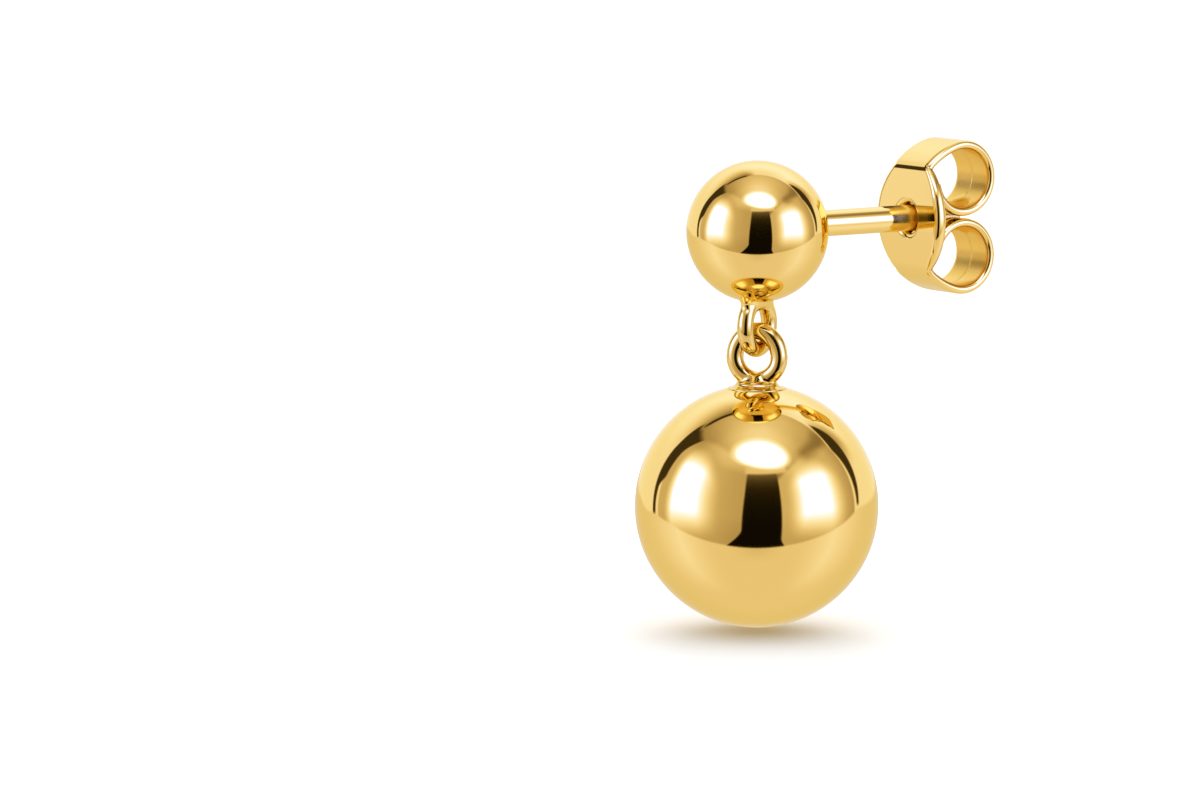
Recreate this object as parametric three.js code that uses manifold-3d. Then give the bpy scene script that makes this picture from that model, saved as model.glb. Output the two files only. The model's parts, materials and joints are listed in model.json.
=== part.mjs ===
// Ball drop earring: a polished ball stud on a straight post, a larger ball hanging from it by a
// loop linked through an eyelet, and a butterfly clutch that grips the post behind the ear lobe.
//
// Millimetres. +Z is up, -Y is the front of the earring, and the post runs back along +Y. The origin
// is on the post's axis at the back of the stud's ball, where the front of the ear lobe rests.

import * as THREE from 'three';
import { mergeVertices } from 'three/addons/utils/BufferGeometryUtils.js';
import Module from 'manifold-3d';

const wasm = await Module();
wasm.setup();

// ---- driving dimensions ----

const DROP_BALL_DIAMETER = 8.0;
const STUD_BALL_DIAMETER = 4.65;
const POST_DIAMETER = 0.87;
const POST_RISE = 0.12; // the post is soldered on this far above the ball's centre
const FREE_POST = 3.62; // bare post between the stud's ball and the clutch's plate
const POST_PAST_CURLS = 0.3; // how far the post's tip lies beyond the curls' narrowest place

const EYELET_WIRE = 0.54;
const EYELET_HOLE = 1.05;
const LOOP_WIRE = 0.57;
const LOOP_HOLE = 0.92;
const LOOP_STRETCH = 1.15; // the loop's upper half is drawn out upwards by this much
const LINK_PLAY = 0.04; // clearance where the loop's wire hangs on the eyelet's wire

const EYELET_TURN = THREE.MathUtils.degToRad(26); // the eyelet's plane, turned about Z from the post
const LOOP_TURN = THREE.MathUtils.degToRad(40); // the loop's plane, turned about Z from the X axis

const STRIP_THICKNESS = 0.29; // the clutch is one bent strip
const STRIP_WIDTH = 1.82;
const PLATE_WIDTH = 3.1; // the strip is broadest round the post
const PLATE_BOW = 0.2; // the plate's middle stands this far in front of its ends
const CURL_DIAMETER = 2.49;
const POST_CLEARANCE = 0.045; // radial room for the post in the clutch

// ---- sizes worked out from them ----

const dropRadius = DROP_BALL_DIAMETER / 2;
const studRadius = STUD_BALL_DIAMETER / 2;
const postRadius = POST_DIAMETER / 2;
const eyeletWire = EYELET_WIRE / 2;
const loopWire = LOOP_WIRE / 2;
const eyeletRadius = EYELET_HOLE / 2 + eyeletWire; // centre line
const loopRadius = LOOP_HOLE / 2 + loopWire; // centre line

const collarHeight = 0.218; // from the stud ball's lowest point down to the top of the eyelet's hole
const eyeletCentreZ = -(studRadius + collarHeight + EYELET_HOLE / 2);
const eyeletBottomZ = eyeletCentreZ - eyeletRadius; // the drop swings about the wire here
const loopTopZ = eyeletBottomZ + eyeletWire + LINK_PLAY + loopWire;
const loopCentreZ = loopTopZ - loopRadius * LOOP_STRETCH;

const capHeight = 0.4; // from the drop ball's top to the cone's tip, where the loop's hole ends
const loopFoot = THREE.MathUtils.degToRad(27.5); // from the loop's bottom to where its feet leave it
const loopAboveTip = LOOP_HOLE / 2 / Math.cos(loopFoot); // from the cone's tip to the loop's centre
const dropTopZ = loopCentreZ - loopAboveTip - capHeight;

const curlOuter = CURL_DIAMETER / 2;
const curlInner = curlOuter - STRIP_THICKNESS;
const curlGap = 0.07; // between the two curls, where they come closest
const curlZ = curlOuter + curlGap / 2;
const curlDepth = 1.73; // from the front of the plate's middle to a curl's centre
const foldZ = 1.77; // from the post's axis to the fold at the plate's end
const postTip = FREE_POST + curlDepth + POST_PAST_CURLS;

// ---- how finely round things are divided ----

const STUD_BALL_DIVISIONS = 8;
const DROP_BALL_DIVISIONS = 10;
const WIRE_SIDES = 12;
const POST_SIDES = 24;
const RING_STEPS = 36;
const LATHE_SIDES = 36;
const CURL_STEPS = 24;
const PLATE_STEPS = 12;

const MERGE_DISTANCE = 1e-4;
const OVERLAP = 0.02; // how far pieces of one soldered part reach into each other

// ---- joining and cutting ----

function solid(geometry) {
  const bare = geometry.clone();
  bare.deleteAttribute('normal');
  bare.deleteAttribute('uv');
  const merged = mergeVertices(bare, MERGE_DISTANCE);
  return new wasm.Manifold(new wasm.Mesh({
    numProp: 3,
    vertProperties: new Float32Array(merged.attributes.position.array),
    triVerts: new Uint32Array(merged.index.array),
  }));
}

function geometryOf(manifold) {
  const mesh = manifold.getMesh();
  const geometry = new THREE.BufferGeometry();
  geometry.setAttribute('position', new THREE.BufferAttribute(mesh.vertProperties, 3));
  geometry.setIndex(new THREE.BufferAttribute(mesh.triVerts, 1));
  geometry.computeVertexNormals();
  return geometry;
}

function joined(geometries) {
  return geometries.map(solid).reduce((sum, next) => sum.add(next));
}

// A solid turned about Z from its profile of [radius, height] points, listed from bottom to top.
function turnedAboutZ(profile, sides) {
  const points = profile.map(([radius, height]) => new THREE.Vector2(radius, height));
  return new THREE.LatheGeometry(points, sides).rotateX(Math.PI / 2);
}

// The same about Y, its profile of [radius, distance back] points listed from front to back.
function turnedAboutY(profile, sides) {
  const points = profile.map(([radius, back]) => new THREE.Vector2(radius, back));
  return new THREE.LatheGeometry(points, sides);
}

function wireAlong(path, radius, steps) {
  const section = new THREE.Shape();
  section.absarc(0, 0, radius, 0, 2 * Math.PI);
  const options = { extrudePath: path, steps, curveSegments: WIRE_SIDES / 2, bevelEnabled: false };
  return new THREE.ExtrudeGeometry(section, options);
}

// ---- the stud: ball, post and eyelet soldered into one ----

// The solder collar between the ball's underside and the eyelet, as oval sections from top to bottom.
// drop is measured down from the ball's lowest point; along and across are half widths, in the
// eyelet's plane and square to it.
const COLLAR_SECTIONS = [
  { drop: -0.42, along: 0.98, across: 0.56 },
  { drop: -0.18, along: 0.96, across: 0.50 },
  { drop: -0.10, along: 0.86, across: 0.40 },
  { drop: 0.00, along: 0.79, across: 0.32 },
  { drop: 0.10, along: 0.73, across: 0.25 },
  { drop: 0.20, along: 0.60, across: 0.15 },
];

function ovalLoft(sections, sides) {
  const positions = [];
  const index = [];
  const last = sections.length - 1;
  for (const { drop, along, across } of sections) {
    for (let side = 0; side < sides; side++) {
      const angle = (2 * Math.PI * side) / sides;
      positions.push(across * Math.cos(angle), along * Math.sin(angle), -drop);
    }
  }
  for (let row = 0; row < last; row++) {
    for (let side = 0; side < sides; side++) {
      const a = row * sides + side;
      const b = row * sides + (side + 1) % sides;
      index.push(a, a + sides, b);
      index.push(b, a + sides, b + sides);
    }
  }
  const top = positions.length / 3;
  positions.push(0, 0, -sections[0].drop);
  positions.push(0, 0, -sections[last].drop);
  for (let side = 0; side < sides; side++) {
    const next = (side + 1) % sides;
    index.push(top, side, next);
    index.push(top + 1, last * sides + next, last * sides + side);
  }
  const geometry = new THREE.BufferGeometry();
  geometry.setAttribute('position', new THREE.Float32BufferAttribute(positions, 3));
  geometry.setIndex(index);
  return geometry;
}

function studGeometry() {
  const ball = new THREE.IcosahedronGeometry(studRadius, STUD_BALL_DIVISIONS);
  const eyelet = new THREE.TorusGeometry(eyeletRadius, eyeletWire, WIRE_SIDES, RING_STEPS)
    .rotateY(Math.PI / 2)
    .translate(0, 0, eyeletCentreZ)
    .rotateZ(EYELET_TURN);
  const collar = ovalLoft(COLLAR_SECTIONS, LATHE_SIDES)
    .translate(0, 0, -studRadius)
    .rotateZ(EYELET_TURN);
  const tipChamfer = 0.1;
  const tip = studRadius + postTip;
  const post = turnedAboutY([
    [0, studRadius / 2],
    [postRadius, studRadius / 2],
    [postRadius, tip - tipChamfer],
    [postRadius - tipChamfer, tip],
    [0, tip],
  ], POST_SIDES).translate(0, 0, POST_RISE);
  return geometryOf(joined([ball, eyelet, collar, post]));
}

// ---- the drop: a turned cap with its loop and peg, seated in the ball ----

const pegRadius = 0.4;
const pegDepth = 1.2;
const pegRoom = 0.05; // between the peg and its blind hole
const seatGap = 0.03; // between the cap's foot and the ball
const capRadius = 0.975;
const capRim = 0.05; // thickness of the cap's edge

// The height of a sphere concentric with the drop ball above the ball's top, at some radius.
function overBall(radius, gap) {
  return Math.sqrt((dropRadius + gap) ** 2 - radius ** 2) - dropRadius;
}

// The cap's profile above its rim: a thin edge that sweeps up into a cone.
const CAP_CONE = [
  { radius: 0.87, height: 0.00 },
  { radius: 0.78, height: 0.06 },
  { radius: 0.69, height: 0.135 },
  { radius: 0.52, height: 0.215 },
  { radius: 0.34, height: 0.285 },
  { radius: 0.17, height: 0.34 },
];

// The round part of the loop, from one foot over the top to the other, about the loop's centre.
class LoopArc extends THREE.Curve {
  getPoint(t) {
    const angle = -Math.PI / 2 + loopFoot + t * 2 * (Math.PI - loopFoot);
    const stretch = angle > 0 && angle < Math.PI ? LOOP_STRETCH : 1;
    return new THREE.Vector3(loopRadius * Math.cos(angle), 0, stretch * loopRadius * Math.sin(angle));
  }
}

// One straight foot, from just inside the round part down to the cap's axis. side is 1 or -1.
function loopFootGeometry(side) {
  const along = new THREE.Vector3(-side * Math.cos(loopFoot), 0, -Math.sin(loopFoot));
  const across = side * loopRadius * Math.sin(loopFoot);
  const start = new THREE.Vector3(across, 0, -loopRadius * Math.cos(loopFoot));
  const end = start.clone().addScaledVector(along, loopRadius * Math.tan(loopFoot));
  start.addScaledVector(along, -OVERLAP);
  return wireAlong(new THREE.LineCurve3(start, end), loopWire, 1);
}

function capGeometry() {
  const seatSteps = 3;
  const seat = [];
  for (let step = 0; step <= seatSteps; step++) {
    const radius = pegRadius + ((capRadius - pegRadius) * step) / seatSteps;
    seat.push([radius, overBall(radius, seatGap)]);
  }
  const cone = turnedAboutZ([
    [0, -pegDepth],
    [pegRadius, -pegDepth],
    ...seat,
    [capRadius, overBall(capRadius, seatGap) + capRim],
    ...CAP_CONE.map(({ radius, height }) => [radius, height]),
    [0, capHeight],
  ], LATHE_SIDES);
  const loop = [
    wireAlong(new LoopArc(), loopWire, RING_STEPS),
    loopFootGeometry(1),
    loopFootGeometry(-1),
  ].map((geometry) => geometry.translate(0, 0, capHeight + loopAboveTip));
  const roomForBall = new THREE.IcosahedronGeometry(dropRadius + seatGap, DROP_BALL_DIVISIONS)
    .translate(0, 0, -dropRadius);
  return geometryOf(joined(loop).subtract(solid(roomForBall)).add(solid(cone)));
}

function dropBallGeometry() {
  const ball = new THREE.IcosahedronGeometry(dropRadius, DROP_BALL_DIVISIONS)
    .translate(0, 0, -dropRadius);
  const holeRadius = pegRadius + pegRoom;
  const holeDepth = pegDepth + 2 * pegRoom;
  const hole = new THREE.CylinderGeometry(holeRadius, holeRadius, 2 * holeDepth, LATHE_SIDES)
    .rotateX(Math.PI / 2);
  return geometryOf(solid(ball).subtract(solid(hole)));
}

// ---- the butterfly clutch: one strip folded into a plate and two curls ----

const foldAngle = THREE.MathUtils.degToRad(44); // how steeply the strip leaves the fold
const foldSlope = Math.tan(foldAngle);
const curlJoin = THREE.MathUtils.degToRad(105); // where the strip meets the round part of its curl
const curlEnd = THREE.MathUtils.degToRad(-168); // where the strip ends, close behind the plate
const countersinkRadius = 0.6;
const countersinkDepth = 0.12;

// The radius of an arc that rises by `rise` over a chord of twice `half`.
function arcRadius(half, rise) {
  return (half ** 2 + rise ** 2) / (2 * rise);
}

// Extrudes an outline drawn in the plane of Y (back) and Z (up) along X, centred.
function extrudedAlongX(outline, width, curveSegments) {
  const options = { depth: width, curveSegments, bevelEnabled: false };
  const back = new THREE.Vector3(0, 1, 0);
  const up = new THREE.Vector3(0, 0, 1);
  const across = new THREE.Vector3(1, 0, 0);
  return new THREE.ExtrudeGeometry(outline, options)
    .translate(0, 0, -width / 2)
    .applyMatrix4(new THREE.Matrix4().makeBasis(back, up, across));
}

// The plate: bowed towards the lobe as seen from the side, and barrel-shaped as seen from the front.
function plateSolid() {
  const bowRadius = arcRadius(foldZ, PLATE_BOW);
  const bowAngle = Math.asin(foldZ / bowRadius);
  const side = new THREE.Shape();
  side.absarc(bowRadius, 0, bowRadius, Math.PI - bowAngle, Math.PI + bowAngle);
  side.absarc(bowRadius, 0, bowRadius - STRIP_THICKNESS, Math.PI + bowAngle, Math.PI - bowAngle, true);
  const bowed = extrudedAlongX(side, 2 * PLATE_WIDTH, PLATE_STEPS);

  const bulge = (PLATE_WIDTH - STRIP_WIDTH) / 2;
  const edgeRadius = arcRadius(foldZ, bulge);
  const edgeCentre = PLATE_WIDTH / 2 - edgeRadius;
  const edgeAngle = Math.asin(foldZ / edgeRadius);
  const front = new THREE.Shape();
  front.absarc(edgeCentre, 0, edgeRadius, -edgeAngle, edgeAngle);
  front.absarc(-edgeCentre, 0, edgeRadius, Math.PI - edgeAngle, Math.PI + edgeAngle);
  const options = { depth: 2 * curlDepth, curveSegments: PLATE_STEPS, bevelEnabled: false };
  const barrel = new THREE.ExtrudeGeometry(front, options)
    .rotateX(Math.PI / 2)
    .translate(0, curlDepth, 0);
  return solid(bowed).intersect(solid(barrel));
}

// The three control points of the curve by which the strip runs from its fold to its curl, on the
// strip's outer face or at some depth below it. It leaves the fold steeply and meets the circle in line.
function foldSweep(depthBelow) {
  const start = new THREE.Vector2(PLATE_BOW, foldZ);
  start.x += depthBelow * Math.sin(foldAngle);
  start.y -= depthBelow * Math.cos(foldAngle);
  const radius = curlOuter - depthBelow;
  const end = new THREE.Vector2(curlDepth, curlZ);
  end.x += radius * Math.cos(curlJoin);
  end.y += radius * Math.sin(curlJoin);
  const endSlope = -1 / Math.tan(curlJoin);
  const cornerX = (end.y - start.y + foldSlope * start.x - endSlope * end.x) / (foldSlope - endSlope);
  const corner = new THREE.Vector2(cornerX, start.y + foldSlope * (cornerX - start.x));
  return { start, corner, end };
}

// The upper curl, from the fold round to the strip's end close behind the plate.
function curlGeometry() {
  const outer = foldSweep(0);
  const inner = foldSweep(STRIP_THICKNESS);
  const outline = new THREE.Shape();
  outline.moveTo(outer.start.x, outer.start.y);
  outline.quadraticCurveTo(outer.corner.x, outer.corner.y, outer.end.x, outer.end.y);
  outline.absarc(curlDepth, curlZ, curlOuter, curlJoin, curlEnd, true);
  outline.absarc(curlDepth, curlZ, curlInner, curlEnd, curlJoin, false);
  outline.quadraticCurveTo(inner.corner.x, inner.corner.y, inner.start.x, inner.start.y);
  return extrudedAlongX(outline, STRIP_WIDTH, CURL_STEPS);
}

function clutchGeometry() {
  const strip = plateSolid().add(joined([curlGeometry(), curlGeometry().rotateY(Math.PI)]));
  const holeRadius = postRadius + POST_CLEARANCE;
  const longEnough = 4 * curlDepth;
  const channel = new THREE.CylinderGeometry(holeRadius, holeRadius, longEnough, POST_SIDES);
  const countersink = turnedAboutY([
    [0, -OVERLAP],
    [countersinkRadius, -OVERLAP],
    [countersinkRadius, 0],
    [holeRadius, countersinkDepth],
    [0, countersinkDepth],
  ], POST_SIDES);
  return geometryOf(strip.subtract(solid(channel)).subtract(solid(countersink)));
}

// ---- the assembly ----

const GOLD = { color: 0xf2c768, roughness: 0.07, metalness: 1 };
const SATIN_GOLD = { color: 0xeec46a, roughness: 0.16, metalness: 1 };

function piece(name, geometry, finish) {
  const mesh = new THREE.Mesh(geometry, new THREE.MeshStandardMaterial(finish));
  mesh.name = name;
  return mesh;
}

const stud = piece('stud', studGeometry(), GOLD);
stud.position.set(0, -studRadius, -POST_RISE);

// The drop hangs free under the stud's ball; its own origin is the top of its ball.
const drop = new THREE.Group();
drop.position.set(0, -studRadius, dropTopZ - POST_RISE);
drop.rotation.z = LOOP_TURN;
drop.add(piece('drop_cap', capGeometry(), GOLD));
drop.add(piece('drop_ball', dropBallGeometry(), GOLD));

const clutch = piece('butterfly_clutch', clutchGeometry(), SATIN_GOLD);
clutch.position.y = FREE_POST;

const earring = new THREE.Group();
earring.add(stud, drop, clutch);

export default earring;
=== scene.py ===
"""Dresses the ball drop earring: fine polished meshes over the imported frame, gold finishes and a studio."""

import json
import logging
import math
from dataclasses import dataclass
from enum import Enum
from typing import Any, Callable, Sequence, Union

import bpy
import numpy as np
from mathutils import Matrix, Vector


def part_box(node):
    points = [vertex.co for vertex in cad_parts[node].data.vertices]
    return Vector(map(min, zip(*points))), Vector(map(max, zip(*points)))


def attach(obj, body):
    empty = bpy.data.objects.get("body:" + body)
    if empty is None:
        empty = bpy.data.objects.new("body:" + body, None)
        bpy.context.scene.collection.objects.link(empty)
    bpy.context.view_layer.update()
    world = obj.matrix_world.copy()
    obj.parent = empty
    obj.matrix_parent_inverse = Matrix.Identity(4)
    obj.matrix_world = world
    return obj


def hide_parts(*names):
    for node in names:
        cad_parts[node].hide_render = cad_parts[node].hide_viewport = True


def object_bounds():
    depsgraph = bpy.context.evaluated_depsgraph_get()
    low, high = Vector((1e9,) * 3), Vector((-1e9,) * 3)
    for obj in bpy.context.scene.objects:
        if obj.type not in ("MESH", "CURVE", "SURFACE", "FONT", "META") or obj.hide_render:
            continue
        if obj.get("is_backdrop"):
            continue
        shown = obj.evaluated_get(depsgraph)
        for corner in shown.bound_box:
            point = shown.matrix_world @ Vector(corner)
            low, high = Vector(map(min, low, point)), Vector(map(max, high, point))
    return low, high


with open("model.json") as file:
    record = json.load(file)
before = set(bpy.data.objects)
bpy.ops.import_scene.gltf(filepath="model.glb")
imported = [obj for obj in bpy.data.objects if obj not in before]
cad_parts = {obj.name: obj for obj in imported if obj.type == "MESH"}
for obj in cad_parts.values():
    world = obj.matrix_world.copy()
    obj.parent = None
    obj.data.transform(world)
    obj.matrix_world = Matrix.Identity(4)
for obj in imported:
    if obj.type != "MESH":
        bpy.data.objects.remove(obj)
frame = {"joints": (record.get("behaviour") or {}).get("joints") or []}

log = logging.getLogger("earring")

MM = 0.001  # the row frame is in metres, and the sizes here are in millimetres

ACROSS = (1.0, 0.0, 0.0)
BACK = (0.0, 1.0, 0.0)
UP = (0.0, 0.0, 1.0)

Array = np.ndarray
FieldFunction = Callable[[Array, Array, Array], Array]
Colour = tuple[float, float, float]
Bands = tuple[tuple[float, float], ...]
Step = tuple[float, float]  # where a rise is half done, and how far it reaches on each side
Span = tuple[float, float, float]  # where a band starts and ends, and how far its edges reach


class Body(Enum):
    """The bodies of the frame that pieces ride on."""

    STUD = "stud"
    DROP = "drop"
    CLUTCH = "clutch"


class Slot(Enum):
    """The record's material slots."""

    POLISHED = "polished_gold"
    CLUTCH = "clutch_gold"


# ---- places that the frame gives ----


def hinge() -> Array:
    """Where the drop hangs from the stud, in millimetres."""
    return np.array(next(joint["pos_m"] for joint in frame["joints"] if joint["name"] == "drop_swing")) / MM


def corners(node: str) -> tuple[Array, Array]:
    """A CAD node's lowest and highest corners at rest, in millimetres."""
    low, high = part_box(node)
    return np.array(low) / MM, np.array(high) / MM


# ---- shapes given by a distance ----


def smooth_least(a: Array, b: Array, blend: float) -> Array:
    """Joins two solids with a fillet.

    Args:
        a: Signed distance to the first solid.
        b: Signed distance to the second solid.
        blend: How far from the crease the fillet begins.

    Returns:
        The signed distance to the joined solid.
    """
    near = np.maximum(blend - np.abs(a - b), 0.0) / blend
    return np.minimum(a, b) - near * near * blend / 4


def smooth_most(a: Array, b: Array, blend: float) -> Array:
    """Keeps what two solids share, with the new edge rounded.

    Args:
        a: Signed distance to the first solid.
        b: Signed distance to the second solid.
        blend: How far from the edge the rounding begins.

    Returns:
        The signed distance to the shared solid.
    """
    return -smooth_least(-a, -b, blend)


def oval_wall(x: Array, y: Array, half_x: Union[float, Array], half_y: Union[float, Array]) -> Array:
    """Measures to an upright wall that is oval seen from above.

    Args:
        x: Places across.
        y: Places back.
        half_x: Half the oval's width.
        half_y: Half the oval's depth.

    Returns:
        The signed distance to the wall, nearly, and less than nothing inside it.
    """
    reach = np.hypot(x / half_x, y / half_y)
    steep = np.hypot(x / half_x**2, y / half_y**2)
    return reach * (reach - 1) / np.maximum(steep, 1e-6)


def smooth_curve(places: Array, values: Array, wanted: Array) -> Array:
    """Runs a smooth curve through values.

    Args:
        places: Where the values are, rising.
        values: The values.
        wanted: The places to give the curve at.

    Returns:
        The curve there, with no overshoot between two values.
    """
    rise = np.diff(values) / np.diff(places)
    slope = np.concatenate([[rise[0]], (rise[:-1] + rise[1:]) / 2, [rise[-1]]])
    cell = np.clip(np.searchsorted(places, wanted) - 1, 0, len(places) - 2)
    width = places[cell + 1] - places[cell]
    t = (wanted - places[cell]) / width
    return (
        values[cell] * (1 + 2 * t) * (1 - t) ** 2
        + slope[cell] * width * t * (1 - t) ** 2
        + values[cell + 1] * t * t * (3 - 2 * t)
        + slope[cell + 1] * width * t * t * (t - 1)
    )


class PlaneCurve:
    """A smooth curve in a plane, as points close enough together to measure from exactly."""

    chunk = 4096  # how many places are measured at once
    least_step = 1e-9  # points closer than this are one

    def __init__(self, points: Array) -> None:
        """Keeps the points and their distance along the curve.

        Args:
            points: The curve's points in order, one per row.
        """
        steps = np.hypot(*np.diff(points, axis=0).T)
        kept = np.concatenate([[True], steps > self.least_step])
        self.points = points[kept]
        steps = np.hypot(*np.diff(self.points, axis=0).T)
        self.along = np.concatenate([[0.0], np.cumsum(steps)])
        self.squares = (self.points**2).sum(axis=1)

    def nearest(self, first: Array, second: Array) -> tuple[Array, Array]:
        """Measures from points of the plane to the curve.

        Args:
            first: First coordinates of the points.
            second: Second coordinates of the points.

        Returns:
            The distance to the curve, and how far along the curve its nearest point lies.
        """
        first, second = np.broadcast_arrays(first, second)
        flat = np.stack([first.ravel(), second.ravel()], axis=1)
        distance = np.empty(len(flat))
        place = np.empty(len(flat))
        for start in range(0, len(flat), self.chunk):
            part = slice(start, start + self.chunk)
            distance[part], place[part] = self._nearest_of(flat[part])
        return distance.reshape(first.shape), place.reshape(first.shape)

    def _nearest_of(self, query: Array) -> tuple[Array, Array]:
        """Finds the closest sample, then the least of the parabola through it and its neighbours.

        Args:
            query: Points of the plane, one per row.

        Returns:
            Each one's distance to the curve, and how far along the curve its nearest point lies.
        """
        closest = (self.squares - 2 * query @ self.points.T).argmin(axis=1)
        middle = np.clip(closest, 1, len(self.points) - 2)
        before, at, after = (((query - self.points[middle + shift]) ** 2).sum(axis=1) for shift in (-1, 0, 1))
        back = self.along[middle] - self.along[middle - 1]
        ahead = self.along[middle + 1] - self.along[middle]
        rise_back = (at - before) / back
        rise_ahead = (after - at) / ahead
        bend = np.maximum((rise_ahead - rise_back) / (back + ahead), 1e-12)
        slope = (rise_back * ahead + rise_ahead * back) / (back + ahead)
        step = np.clip(-slope / (2 * bend), -back, ahead)
        least = at + slope * step + bend * step * step
        return np.sqrt(np.maximum(least, 0.0)), self.along[middle] + step


def arc_points(centre: Sequence[float], radius: float, start: float, end: float, step: float) -> Array:
    """Lays points along an arc.

    Args:
        centre: The arc's centre.
        radius: The arc's radius.
        start: The angle it starts at, in degrees.
        end: The angle it ends at, in degrees.
        step: The most degrees between two points.

    Returns:
        The points, one per row.
    """
    count = max(int(math.ceil(abs(end - start) / step)), 2) + 1
    angle = np.radians(np.linspace(start, end, count))
    return np.stack([centre[0] + radius * np.cos(angle), centre[1] + radius * np.sin(angle)], axis=1)


@dataclass
class Skin:
    """A surface as vertices, faces and the exact direction each vertex faces."""

    points: Array
    faces: list[list[int]]
    normals: Array

    def turned(self, degrees: float) -> "Skin":
        """Turns the surface about the vertical axis.

        Args:
            degrees: The angle, anticlockwise seen from above.

        Returns:
            The turned surface.
        """
        angle = math.radians(degrees)
        matrix = np.array(
            [[math.cos(angle), -math.sin(angle), 0], [math.sin(angle), math.cos(angle), 0], [0, 0, 1]]
        )
        return Skin(self.points @ matrix.T, self.faces, self.normals @ matrix.T)

    def moved(self, offset: Sequence[float]) -> "Skin":
        """Moves the surface by an offset in millimetres."""
        return Skin(self.points + np.array(offset), self.faces, self.normals)

    def piece(self, name: str, body: Body, node: str, slot: Slot, material: bpy.types.Material) -> bpy.types.Object:
        """Makes the surface a piece of the scene.

        Args:
            name: The piece's name.
            body: The body it rides on.
            node: The frame's node that it stands for.
            slot: The record's slot that it is finished in. Not used.
            material: Its finish.

        Returns:
            The new object.
        """
        mesh = bpy.data.meshes.new(name)
        mesh.from_pydata((self.points * MM).tolist(), [], self.faces)
        mesh.polygons.foreach_set("use_smooth", [True] * len(mesh.polygons))
        mesh.normals_split_custom_set_from_vertices(self.normals.tolist())
        mesh.materials.append(material)
        made = bpy.data.objects.new(name, mesh)
        bpy.context.scene.collection.objects.link(made)
        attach(made, body.value)
        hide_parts(node)
        log.info("%s: %d faces, for %s on %s", name, len(self.faces), node, body.value)
        return made


@dataclass(frozen=True)
class GridLine:
    """One side of the grid that a surface is looked for on: even steps, with bands of finer ones."""

    low: float
    high: float
    step: float
    fine_step: float = 0.0
    bands: tuple[tuple[float, float], ...] = ()

    def places(self) -> Array:
        """Lays out the grid's places along this side.

        Returns:
            The places, from a step before the side's start to a step after its end.
        """
        places = [self.low - self.step]
        while places[-1] < self.high + self.step:
            fine = any(start <= places[-1] < end for start, end in self.bands)
            places.append(places[-1] + (self.fine_step if fine else self.step))
        return np.array(places)


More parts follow.
